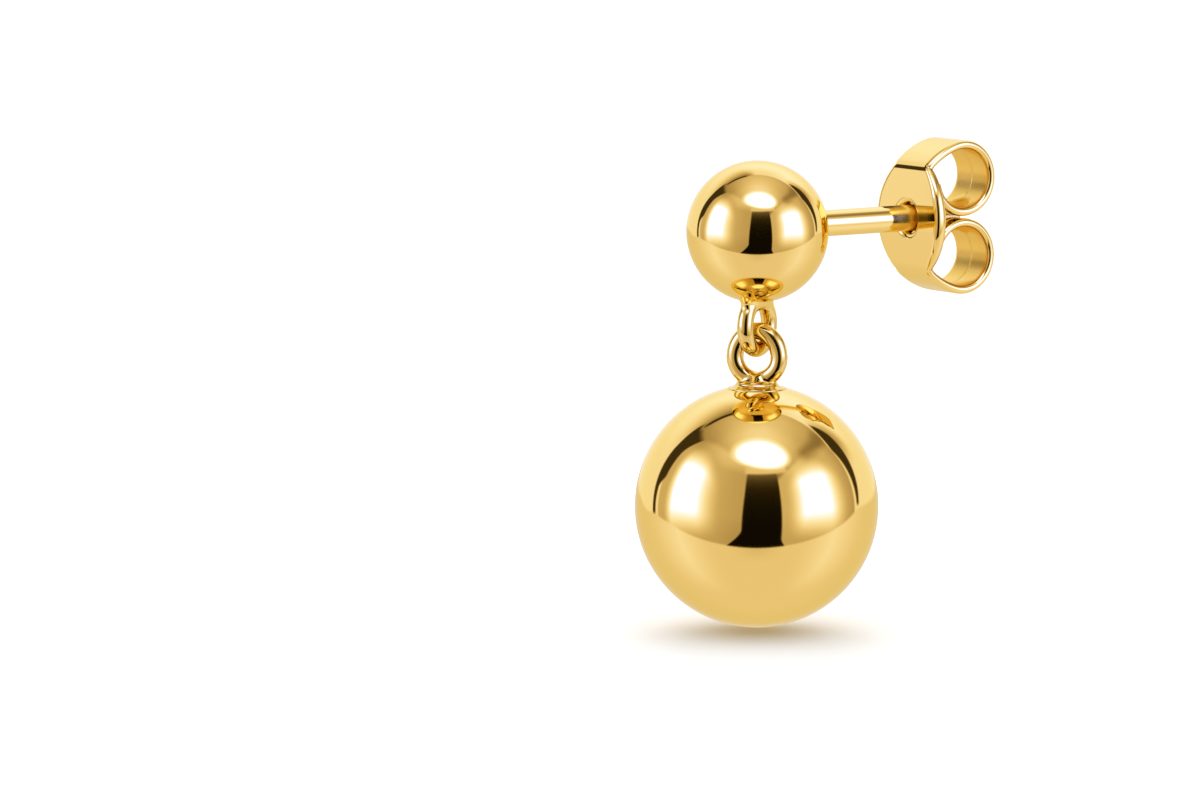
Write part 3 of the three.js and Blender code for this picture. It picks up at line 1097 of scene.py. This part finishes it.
@dataclass
class ButterflyClutch:
    """The clutch: one strip folded into a plate and two curls.

    Places in the plane of Y and Z are from the middle of the plate's front.
    """

    set_back: float = 0.08
    thickness: float = 0.29
    strip_width: float = 1.90
    plate_width: float = 3.46
    plate_thickness: float = 0.44
    fold_height: float = 1.77
    plate_bow: float = 0.15
    corner_height: float = 1.70
    plate_places: int = 90
    curl_centre: tuple[float, float] = (1.75, 1.30)
    curl_radius: float = 1.12
    curl_join: float = 105.0
    curl_end: float = -168.0
    crisp_fold: float = 0.38
    soft_fold: float = 0.6
    fold_places: int = 25
    edge_depth: float = 0.22
    edge_power: float = 1.5
    hole_radius: float = 0.452
    countersink_radius: float = 0.6
    countersink_slope: float = 0.6
    rim_rounding: float = 0.05
    dimple_rounding: float = 0.10
    groove_wall: float = 0.055
    groove_rounding: float = 0.09
    groove_fillet: float = 0.2
    cell: float = 0.044
    fine_cell: float = 0.026
    front_margin: float = 0.01
    edge_bands: Bands = ((-1.83, -1.35), (-1.0, -0.68), (-0.64, 0.64), (0.68, 1.0), (1.35, 1.83))
    front_bands: Bands = ((-0.1, 0.3),)
    fold_bands: Bands = ((-1.9, -1.6), (-0.64, 0.64), (1.6, 1.9))

    def front(self) -> float:
        """How far back the plate's front is on the post."""
        return corners("butterfly_clutch")[0][1] + self.set_back

    def curl_place(self) -> tuple[float, float]:
        """How far back and up the upper curl's centre is."""
        return self.front() + self.curl_centre[0], self.curl_centre[1]

    def build(self, material: bpy.types.Material) -> None:
        """Makes the clutch."""
        skin = self._strip().moved((0.0, self.front(), 0.0))
        skin.piece("clutch_strip", Body.CLUTCH, "butterfly_clutch", Slot.CLUTCH, material)

    def _half_line(self, fold: float) -> tuple[PlaneCurve, Array, Array]:
        """The centre line of half the strip, from the plate's middle to the curl's end.

        Args:
            fold: The radius that the centre line is folded to.

        Returns:
            The line in the plane of Y and Z, and the strip's half width and half thickness along it.
        """
        bow = (self.fold_height**2 + self.plate_bow**2) / (2 * self.plate_bow)
        up = np.linspace(0.0, self.corner_height, self.plate_places)
        plate = np.stack([bow - np.sqrt(bow**2 - up**2) + self._half_thickness(up), up], axis=1)
        join = arc_points(self.curl_centre, self.curl_radius, self.curl_join, self.curl_join + 1, step=1)[0]
        chord = join - plate[-1]
        leave = 2 * math.degrees(math.atan2(chord[1], chord[0])) - (self.curl_join - 90)
        turn = leave - (self.curl_join - 90)
        sweep_radius = np.hypot(*chord) / (2 * math.sin(math.radians(turn / 2)))
        facing = math.radians(self.curl_join)
        sweep_centre = join - sweep_radius * np.array([math.cos(facing), math.sin(facing)])
        sweep = arc_points(sweep_centre, sweep_radius, leave + 90, self.curl_join, step=0.5)
        curl = arc_points(self.curl_centre, self.curl_radius, self.curl_join, self.curl_end, step=1.5)
        points = self._filleted(np.concatenate([plate, sweep[1:], curl[1:]]), len(plate) - 1, fold)
        bulge = (self.plate_width - self.strip_width) / 2
        edge = (self.fold_height**2 + bulge**2) / (2 * bulge)
        reached = np.minimum(np.maximum.accumulate(points[:, 1]), self.corner_height)
        height = reached * self.fold_height / self.corner_height
        half = self.plate_width / 2 - edge + np.sqrt(edge**2 - height**2)
        return PlaneCurve(points), half, self._half_thickness(reached)

    def _half_thickness(self, height: Array) -> Array:
        """Half the strip's thickness up the plate, which is thickest at its middle."""
        swell = (self.plate_thickness - self.thickness) / 2
        return self.thickness / 2 + swell * np.clip(1 - (height / self.corner_height) ** 2, 0, 1)

    def _filleted(self, points: Array, corner: int, radius: float) -> Array:
        """Rounds one corner of a line.

        Args:
            points: The line's points.
            corner: Which point is the corner.
            radius: The fillet's radius.

        Returns:
            The line with an arc in place of the corner.
        """
        before = points[corner] - points[corner - 1]
        after = points[corner + 1] - points[corner]
        start_angle = math.atan2(before[1], before[0])
        end_angle = math.atan2(after[1], after[0])
        turn = start_angle - end_angle
        reach = radius * math.tan(turn / 2)
        steps = np.hypot(*np.diff(points, axis=0).T)
        along = np.concatenate([[0.0], np.cumsum(steps)]) - steps[:corner].sum()
        start = np.array([np.interp(-reach, along, points[:, n]) for n in (0, 1)])
        end = np.array([np.interp(reach, along, points[:, n]) for n in (0, 1)])
        share = np.linspace(0, 1, self.fold_places)[:, None]
        bend = (1 - share) ** 2 * start + 2 * share * (1 - share) * points[corner] + share**2 * end
        apart = 1e-6
        return np.concatenate([points[along < -reach - apart], bend, points[along > reach + apart]])

    def _strip(self) -> Skin:
        """Folds the strip.

        Returns:
            The strip with its hole.
        """
        upper = self._half_line(self.crisp_fold)
        lower = self._half_line(self.soft_fold)

        def half_strip(line: tuple[PlaneCurve, Array, Array], x: Array, y: Array, z: Array) -> Array:
            """Measures to half the strip, from the plate's middle to the end of one curl.

            Args:
                line: The half's centre line, with the strip's half width and half thickness along it.
                x: Places across the strip.
                y: Places back.
                z: Places up.

            Returns:
                The signed distance.
            """
            curve, half, thick = line
            off, place = curve.nearest(y, z)
            depth = np.interp(place, curve.along, thick)
            inward = np.abs(x) - np.interp(place, curve.along, half) + self.edge_depth
            edge = depth * (np.maximum(inward, 0) / self.edge_depth) ** self.edge_power
            return np.hypot(off, edge) - depth

        def distance(x: Array, y: Array, z: Array) -> Array:
            """Measures to the clutch.

            Args:
                x: Places across the strip.
                y: Places back.
                z: Places up, as a grid or as single points.

            Returns:
                The signed distance.
            """
            strip = half_strip(lower, x, y, np.abs(z))
            if np.ndim(z) == 1:
                above = z >= 0
                strip[above] = half_strip(upper, x[above], y[above], z[above])
            else:
                strip = np.where(z >= 0, half_strip(upper, x, y, np.abs(z)), strip)
            out = np.hypot(x, z)
            in_curls = np.hypot(y - self.curl_centre[0], np.abs(z) - self.curl_centre[1]) - self.curl_radius
            groove = smooth_most(out - self.hole_radius - self.groove_wall, in_curls, self.groove_rounding)
            strip = smooth_least(strip, groove, self.groove_fillet)
            cut = smooth_most(strip, self.hole_radius - out, self.rim_rounding)
            slope = self.countersink_slope
            countersink = (self.countersink_radius - out - slope * y) / math.hypot(1.0, slope)
            return smooth_most(cut, countersink, self.dimple_rounding)

        reach = self.curl_centre[1] + self.curl_radius + self.thickness / 2
        depth = self.curl_centre[0] + self.curl_radius + self.thickness / 2
        half = self.plate_width / 2
        lines = (
            GridLine(-half, half, self.cell, self.fine_cell, self.edge_bands),
            GridLine(-self.front_margin, depth, self.cell, self.fine_cell, self.front_bands),
            GridLine(-reach, reach, self.cell, self.fine_cell, self.fold_bands),
        )
        return DistanceSolid(distance, lines).skin()


# ---- the studio ----


@dataclass(frozen=True)
class Viewpoint:
    """Where the camera stands, about a point on the earring."""

    target_below_hinge: float = 1.017
    azimuth: float = 55.0
    elevation: float = 7.0
    distance: float = 200.0
    aim_left: float = 5.14
    aim_down: float = 0.68
    view_width: float = 39.31
    sensor: float = 36.0
    clip: tuple[float, float] = (0.01, 20.0)

    @property
    def rightward(self) -> Vector:
        """The level direction to the right of the view."""
        angle = math.radians(self.azimuth)
        return Vector((math.cos(angle), math.sin(angle), 0.0))

    @property
    def towards(self) -> Vector:
        """The level direction from the earring to the camera."""
        angle = math.radians(self.azimuth)
        return Vector((math.sin(angle), -math.cos(angle), 0.0))

    def camera(self) -> None:
        """Makes the scene's camera."""
        tilt = math.radians(self.elevation)
        back = self.towards * math.cos(tilt) + Vector(UP) * math.sin(tilt)
        up = back.cross(self.rightward)
        target = Vector(hinge()) - Vector(UP) * self.target_below_hinge
        aim = target - self.rightward * self.aim_left - up * self.aim_down
        place = target + back * self.distance
        data = bpy.data.cameras.new("camera")
        data.sensor_width = self.sensor
        data.lens = self.sensor * self.distance / self.view_width
        data.clip_start, data.clip_end = self.clip
        made = bpy.data.objects.new("camera", data)
        made.location = place * MM
        made.rotation_euler = (aim - place).to_track_quat("-Z", "Y").to_euler()
        bpy.context.scene.collection.objects.link(made)
        bpy.context.scene.camera = made


@dataclass(frozen=True)
class Sky:
    """Every direction round the earring, as signals.

    The bearing is in degrees round from the camera's side to the right, the height is in degrees up from level,
    and side, front and up are the direction's parts to the right, towards the camera and upwards.
    """

    graph: Graph
    bearing: Signal
    height: Signal
    side: Signal
    front: Signal
    up: Signal


@dataclass(frozen=True)
class Patch:
    """A soft-edged oblong of the tent."""

    bearings: Span
    heights: Span

    def mask(self, sky: Sky) -> Signal:
        """Masks the patch."""
        return sky.bearing.between(*self.bearings) * sky.height.between(*self.heights)


@dataclass(frozen=True)
class Arched:
    """A part of the tent with upright sides and an arched top: a side sheet, or the glow of a lamp behind it."""

    start: Step
    end: Step
    crown: float
    crown_at: float
    arch: float
    top_soft: float

    def mask(self, sky: Sky) -> Signal:
        """Masks the part.

        Args:
            sky: The directions.

        Returns:
            1 on the part, and 0 elsewhere.
        """
        top = self.crown - self.arch * (sky.bearing - self.crown_at) ** 2
        upright = sky.bearing.above(*self.start) * (1 - sky.bearing.above(*self.end))
        return upright * (1 - sky.height.above(top, self.top_soft))


@dataclass(frozen=True)
class Canopy:
    """The cloth behind and above the earring: a wall, and a ceiling that meets it in a seam."""

    wall_tone: float = 0.85
    wall_glow: float = 0.08
    glow_heights: Span = (28, 56, 14)
    corner: Patch = Patch((112, 131, 8), (24, 48, 10))
    corner_shade: float = 0.33
    seam_lean: float = 0.36
    seam_shade: float = 0.45
    seam_shade_reach: float = 0.3
    seam_shade_bearings: tuple[Step, Step] = ((-165, 12), (-118, 6))
    seam_shade_above: Step = (20, 12)
    seam_least_up: float = 0.05
    seam_edge: Step = (0.03, 0.012)
    seam_bearings: Span = (-150, -118, 4)
    seam_above: Step = (0.3, 0.1)
    ceiling_tone: float = 0.775
    ceiling_slant: float = 0.075
    ceiling_fall: float = 0.23
    fall_from: float = 85.0
    fall_over: float = 35.0
    fall_power: float = 1.3
    ceiling_edge: Step = (0.0, 0.02)
    ceiling_above: Step = (20, 6)

    def level(self, sky: Sky) -> Signal:
        """Paints the wall and the ceiling.

        Args:
            sky: The directions.

        Returns:
            How bright they are, from 0 for black to 1 for white.
        """
        past_seam = self._past_seam(sky)
        start, end = self.seam_shade_bearings
        apart = past_seam / sky.up.at_least(self.seam_least_up)
        near_seam = sky.graph.maths("EXPONENT", apart / self.seam_shade_reach)
        near_seam = near_seam * sky.bearing.above(*start) * (1 - sky.bearing.above(*end))
        wall = self.wall_tone + self.wall_glow * sky.height.between(*self.glow_heights)
        wall = wall - self.seam_shade * near_seam * sky.height.above(*self.seam_shade_above)
        wall = wall - self.corner_shade * self.corner.mask(sky)
        fall = ((self.fall_from - sky.height) / self.fall_over).at_least(0.0) ** self.fall_power
        ceiling = self.ceiling_tone - self.ceiling_fall * fall + self.ceiling_slant * sky.side
        return wall.mixed(ceiling, past_seam.above(*self.ceiling_edge) * sky.height.above(*self.ceiling_above))

    def seam(self, sky: Sky) -> Signal:
        """Masks the dark line where the seam stands open, on the left."""
        line = 1 - abs(self._past_seam(sky)).above(*self.seam_edge)
        return line * sky.bearing.between(*self.seam_bearings) * sky.up.above(*self.seam_above)

    def _past_seam(self, sky: Sky) -> Signal:
        """How far each direction is past the seam, towards the camera."""
        return sky.front + self.seam_lean * sky.up


@dataclass(frozen=True)
class SideSheets:
    """The two sheets at the sides, and the lip of cloth between them over the camera."""

    left: Arched = Arched((-107, 1.5), (-11, 1.5), 57, -62, 0.0043, 3)
    right: Arched = Arched((22.5, 1.5), (106, 1.5), 47, 72, 0.0062, 3)
    left_tone: float = 0.665
    right_tone: float = 0.68
    foot_shade: float = 0.05
    foot: Step = (-12, 14)
    left_near_shade: float = 0.055
    left_near: Step = (-30, 16)
    left_far_shade: float = 0.14
    left_far: Step = (-86, 18)
    left_far_above: Step = (44, 8)
    right_far_shade: float = 0.10
    right_far: Step = (98, 10)
    right_corner: Patch = Patch((62, 113, 8), (42, 52, 4))
    right_corner_shade: float = 0.13
    lip: Patch = Patch((-13, 35, 3), (37.5, 45, 2))
    lip_tone: float = 0.765

    def over(self, sky: Sky, level: Signal) -> Signal:
        """Hangs the sheets over what is painted so far.

        Args:
            sky: The directions.
            level: How bright the tent is without them.

        Returns:
            How bright it is with them.
        """
        foot = self.foot_shade * (1 - sky.height.above(*self.foot))
        left = self.left_tone - foot - self.left_near_shade * sky.bearing.above(*self.left_near)
        far_left = (1 - sky.bearing.above(*self.left_far)) * sky.height.above(*self.left_far_above)
        left = left - self.left_far_shade * far_left
        right = self.right_tone - foot - self.right_far_shade * sky.bearing.above(*self.right_far)
        level = level.mixed(left, self.left.mask(sky)).mixed(right, self.right.mask(sky))
        level = level - self.right_corner_shade * self.right_corner.mask(sky)
        return level.mixed(self.lip_tone, self.lip.mask(sky))


@dataclass(frozen=True)
class Lamps:
    """A lamp behind each side sheet, and an oval one that lies flat above the earring.

    The oval's centre and half sizes are towards the camera and then to the right, for a lamp one unit up.
    """

    left: Arched = Arched((-93, 6), (-48, 14), 41.5, -73, 0.014, 9)
    right: Arched = Arched((38, 10), (85.7, 11.4), 37, 60, 0.012, 9)
    side_foot: Step = (-13, 14)
    centre: tuple[float, float] = (0.68, 0.11)
    halves: tuple[float, float] = (0.40, 0.55)
    shear: float = 0.22
    least_up: float = 0.02
    above: Step = (0.1, 0.05)
    edge: Step = (1.0, 0.16)
    halo: float = 0.12
    halo_edge: Step = (1.4, 0.6)
    dimming: float = 0.13
    dimming_edge: Step = (0.95, 0.35)

    def over(self, sky: Sky, level: Signal, lip: Signal) -> tuple[Signal, Signal]:
        """Lights the lamps over what is painted so far.

        Args:
            sky: The directions.
            level: How bright the tent is without them.
            lip: Masks the lip, which hides the overhead lamp's halo.

        Returns:
            How bright the tent is with them, and a mask of the lamps.
        """
        rise = sky.up.at_least(self.least_up)
        along = sky.front / rise - self.centre[0]
        across = sky.side / rise - self.centre[1] - self.shear * along
        out = ((across / self.halves[1]) ** 2 + (along / self.halves[0]) ** 2) ** 0.5
        overhead = sky.up.above(*self.above)
        level = level + self.halo * (1 - out.above(*self.halo_edge)) * overhead * (1 - lip)
        top = (1 - out.above(*self.edge)) * overhead
        sides = self.left.mask(sky).at_least(self.right.mask(sky)) * sky.height.above(*self.side_foot)
        lamps = sides.at_least(top)
        return level.mixed(1 - self.dimming * out.above(*self.dimming_edge) * top, lamps), lamps


@dataclass(frozen=True)
class CameraSlot:
    """The dark slot that the camera looks in through, splayed at its foot."""

    left: float = -13.0
    left_lean: float = 0.08
    left_splay: float = 0.21
    left_splay_below: float = -15.0
    left_splay_power: float = 1.6
    right: float = 23.6
    right_lean: float = -0.03
    right_splay: float = 0.07
    right_splay_below: float = -22.0
    right_splay_power: float = 2.0
    soft: float = 1.2
    top: Step = (37, 1.5)
    tone: float = 0.035
    glow: float = 0.263
    glow_from: float = -10.0
    glow_over: float = 45.0
    glow_power: float = 4.0

    def mask(self, sky: Sky) -> Signal:
        """Masks the slot.

        Args:
            sky: The directions.

        Returns:
            1 in the slot, and 0 elsewhere.
        """
        splay = (self.left_splay_below - sky.height).at_least(0.0) ** self.left_splay_power
        left = self.left + self.left_lean * sky.height - self.left_splay * splay
        splay = (self.right_splay_below - sky.height).at_least(0.0) ** self.right_splay_power
        right = self.right + self.right_lean * sky.height + self.right_splay * splay
        return sky.bearing.between(left, right, self.soft) * (1 - sky.height.above(*self.top))

    def level(self, sky: Sky) -> Signal:
        """How bright the slot is, with a little glow towards its top."""
        risen = ((sky.height - self.glow_from) / self.glow_over).at_least(0.0)
        return self.tone + self.glow * risen**self.glow_power


@dataclass(frozen=True)
class SideGaps:
    """The dark gaps where the side sheets end, which widen upwards."""

    tone: float = 0.17
    flare_from: float = 33.0
    flare_over: float = 17.0
    flare_power: float = 1.5
    left_outer: float = -115.3
    left_outer_lean: float = 0.075
    left_outer_flare: float = 5.0
    left_inner: float = -110.9
    left_widening: float = 5.6
    left_widening_from: Step = (12, 5)
    left_inner_lean: float = 0.06
    left_inner_flare: float = 8.0
    left_soft: float = 1.2
    left_foot: Step = (-9, 1.5)
    right_inner: float = 109.6
    right_inner_curve: float = 0.0025
    right_inner_flare: float = 16.0
    right_outer: float = 113.0
    right_outer_lean: float = 0.28
    right_outer_until: float = 38.0
    right_soft: float = 1.5
    right_foot: Step = (-2, 1.5)
    top: Step = (50, 3)

    def mask(self, sky: Sky) -> Signal:
        """Masks the two gaps.

        Args:
            sky: The directions.

        Returns:
            1 in the gaps, and 0 elsewhere.
        """
        flare = ((sky.height - self.flare_from) / self.flare_over).at_least(0.0) ** self.flare_power
        risen = sky.height.at_least(0.0)
        outer = self.left_outer - self.left_outer_lean * risen - self.left_outer_flare * flare
        inner = self.left_inner + self.left_widening * sky.height.above(*self.left_widening_from)
        inner = inner + self.left_inner_lean * risen + self.left_inner_flare * flare
        left = sky.bearing.between(outer, inner, self.left_soft) * sky.height.above(*self.left_foot)
        inner = self.right_inner - self.right_inner_curve * risen**2 + self.right_inner_flare * flare
        outer = self.right_outer + self.right_outer_lean * risen.at_most(self.right_outer_until)
        right = sky.bearing.between(inner, outer, self.right_soft) * sky.height.above(*self.right_foot)
        return left.at_least(right) * (1 - sky.height.above(*self.top))


@dataclass(frozen=True)
class ShownFloor:
    """The pale floor as the gold shows it, with an edge that dips towards the camera."""

    edge: float = -4.0
    dip: float = 28.0
    dip_turn: float = 0.82
    left_dip: float = 3.0
    left_dip_bearings: Span = (-135, -98, 12)
    edge_soft: float = 1.2
    tone: float = 0.78
    glow: float = 0.09
    glow_at: float = 82.0
    glow_reach: float = 45.0
    glow_above: Step = (-55, 25)
    back_shade: float = 0.04
    back: Step = (140, 40)
    front_shade: float = 0.07
    front: Step = (12, 20)
    front_above: Step = (-40, 8)

    def mask(self, sky: Sky) -> Signal:
        """Masks the floor.

        Args:
            sky: The directions.

        Returns:
            1 on the floor, and 0 above its edge.
        """
        towards = sky.graph.maths("COSINE", sky.bearing * math.radians(self.dip_turn)).at_least(0.0)
        edge = self.edge - self.dip * towards - self.left_dip * sky.bearing.between(*self.left_dip_bearings)
        return 1 - sky.height.above(edge, self.edge_soft)

    def level(self, sky: Sky) -> Signal:
        """Paints the floor.

        Args:
            sky: The directions.

        Returns:
            How bright it is: most at the sides, and less behind and right under the camera.
        """
        away = abs(sky.bearing)
        glow = 2 * (1 - abs(away - self.glow_at).above(0.0, self.glow_reach))
        spread = self.glow * glow - self.back_shade * away.above(*self.back)
        level = self.tone + spread * sky.height.above(*self.glow_above)
        return level - self.front_shade * (1 - away.above(*self.front)) * sky.height.above(*self.front_above)


@dataclass(frozen=True)
class LightTent:
    """A white tent round the earring, as its gold shows it: two side sheets with a lamp behind each, a lamp
    above, a dark slot for the camera, dark gaps where the sheets end, and a pale floor.
    """

    viewpoint: Viewpoint
    canopy: Canopy = Canopy()
    sheets: SideSheets = SideSheets()
    lamps: Lamps = Lamps()
    slot: CameraSlot = CameraSlot()
    gaps: SideGaps = SideGaps()
    floor: ShownFloor = ShownFloor()
    lamp_gain: float = 0.25
    gain_edge: Step = (0.97, 0.03)
    fill: float = 1.34
    warmed: tuple[float, float, float, float] = (0.97, 0.86, 0.50, 1.0)
    warmed_edge: Step = (0.98, 0.02)
    gold_tones: tuple[tuple[float, Colour], ...] = (
        (0.035, (0.005, 0.003, 0.0004)),
        (0.12, (0.024, 0.012, 0.0015)),
        (0.21, (0.061, 0.034, 0.006)),
        (0.31, (0.131, 0.073, 0.015)),
        (0.40, (0.225, 0.127, 0.027)),
        (0.50, (0.351, 0.201, 0.043)),
        (0.59, (0.492, 0.295, 0.071)),
        (0.68, (0.650, 0.407, 0.108)),
        (0.78, (0.818, 0.552, 0.173)),
        (0.82, (0.892, 0.627, 0.224)),
        (0.87, (0.961, 0.714, 0.290)),
        (0.92, (1.0, 0.824, 0.426)),
        (0.965, (1.05, 0.94, 0.70)),
        (1.0, (1.1, 1.05, 1.0)),
    )

    def build(self) -> None:
        """Makes the scene's world: the tent in what the gold shows, and an even white for all else."""
        world = bpy.data.worlds.new("light_tent")
        world.use_nodes = True
        bpy.context.scene.world = world
        graph = Graph(world.node_tree)
        sky = self._sky(graph)
        level, lamps = self._level(sky)
        tilt = math.radians(self.viewpoint.elevation)
        behind = 0 - (sky.front * math.cos(tilt) + sky.up * math.sin(tilt))
        colour = graph.colour_mix(
            behind.above(*self.warmed_edge), self._reflected_white(graph, level), self.warmed, "MULTIPLY"
        )
        gain = 1 + lamps.above(*self.gain_edge) * self.lamp_gain
        painted = graph.node("ShaderNodeVectorMath", {"operation": "SCALE"}, {"Vector": colour, "Scale": gain})
        path = graph.node("ShaderNodeLightPath", {}, {}, "Is Glossy Ray")
        shown = graph.colour_mix(path, (self.fill, self.fill, self.fill, 1.0), painted)
        background = graph.node("ShaderNodeBackground", {}, {"Color": shown, "Strength": 1.0})
        graph.close("ShaderNodeOutputWorld", background)

    def _sky(self, graph: Graph) -> Sky:
        """Measures every direction.

        Args:
            graph: The world's tree.

        Returns:
            The directions.
        """
        direction = graph.node("ShaderNodeTexCoord", {}, {}, "Generated")
        side = graph.part(direction, tuple(self.viewpoint.rightward))
        front = graph.part(direction, tuple(self.viewpoint.towards))
        up = graph.part(direction, UP)
        bearing = graph.maths("ARCTAN2", side, front) * math.degrees(1)
        height = graph.maths("ARCSINE", up) * math.degrees(1)
        return Sky(graph, bearing, height, side, front, up)

    def _level(self, sky: Sky) -> tuple[Signal, Signal]:
        """Paints how bright the tent is in each direction.

        Args:
            sky: The directions.

        Returns:
            The level, from 0 for black to 1 for white, and a mask of the lamps.
        """
        level = self.sheets.over(sky, self.canopy.level(sky))
        level, lamps = self.lamps.over(sky, level, self.sheets.lip.mask(sky))
        slot = self.slot.mask(sky)
        level = level.mixed(self.slot.level(sky), slot)
        level = level.mixed(self.gaps.tone, self.gaps.mask(sky).at_least(self.canopy.seam(sky)))
        floor = self.floor.mask(sky)
        level = level.mixed(self.floor.level(sky), floor)
        return level, lamps * (1 - slot) * (1 - floor)

    def _reflected_white(self, graph: Graph, level: Signal) -> Signal:
        """Turns a level into the light that shows as that level in gold.

        Args:
            graph: The world's tree.
            level: How bright the gold is to look, from 0 to 1.

        Returns:
            The light's colour. The brightest washes the gold out to cream and white.
        """
        shown = graph.node("ShaderNodeValToRGB", {"stops": self.gold_tones}, {"Fac": level}, "Color")
        return graph.vector("DIVIDE", shown, GOLD)


@dataclass(frozen=True)
class Sweep:
    """The pale floor just under the drop, with a faint grain."""

    gap: float = 0.15
    reach: float = 3000.0
    grain_size: float = 6.0
    shades: tuple[float, float] = (0.86, 0.88)

    def build(self) -> None:
        """Makes the floor."""
        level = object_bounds()[0][2] - self.gap * MM
        half = self.reach * MM
        around = ((-half, -half), (half, -half), (half, half), (-half, half))
        mesh = bpy.data.meshes.new("floor")
        mesh.from_pydata([(*corner, level) for corner in around], [], [(0, 1, 2, 3)])
        made = bpy.data.objects.new("floor", mesh)
        bpy.context.scene.collection.objects.link(made)
        made.visible_glossy = False
        material = bpy.data.materials.new("pale_floor")
        material.use_nodes = True
        graph = Graph(material.node_tree)
        place = graph.node("ShaderNodeTexCoord", {}, {}, "Object")
        grain = graph.noise(place, self.grain_size, detail=2.0)
        colour = graph.colour_mix(grain, *((shade, shade, shade, 1.0) for shade in self.shades))
        shader = graph.node("ShaderNodeBsdfDiffuse", {}, {"Color": colour})
        graph.close("ShaderNodeOutputMaterial", shader)
        mesh.materials.append(material)
        made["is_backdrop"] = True


@dataclass(frozen=True)
class KeyLight:
    """A broad soft lamp behind and above the earring, which the metal doesn't show."""

    viewpoint: Viewpoint
    power: float = 0.017
    size: float = 60.0
    rise: float = 41.0
    distance: float = 80.0
    target_below_hinge: float = 9.017

    def build(self) -> None:
        """Makes the lamp."""
        data = bpy.data.lights.new("key_light", "AREA")
        data.shape = "DISK"
        data.size = self.size * MM
        data.energy = self.power
        made = bpy.data.objects.new("key_light", data)
        made.visible_glossy = False
        rise = math.radians(self.rise)
        direction = -self.viewpoint.towards * math.cos(rise) + Vector(UP) * math.sin(rise)
        target = Vector(hinge()) - Vector(UP) * self.target_below_hinge
        made.location = (target + direction * self.distance) * MM
        made.rotation_euler = (-direction).to_track_quat("-Z", "Y").to_euler()
        bpy.context.scene.collection.objects.link(made)


def main() -> None:
    """Builds the earring's pieces and the studio."""
    logging.basicConfig(level=logging.INFO, format="%(message)s")
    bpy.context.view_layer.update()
    polished = PolishedGold().material()
    link = LinkGold().material()
    Stud().build(polished, PostGold().material(), link)
    Drop().build(polished, link)
    clutch = ButterflyClutch()
    clutch.build(ClutchGold(curl_centre=clutch.curl_place()).material())
    viewpoint = Viewpoint()
    viewpoint.camera()
    LightTent(viewpoint).build()
    KeyLight(viewpoint).build()
    Sweep().build()
    scene = bpy.context.scene
    scene.view_settings.view_transform = "Standard"
    scene.view_settings.look = "None"


if __name__ == "__main__":
    main()
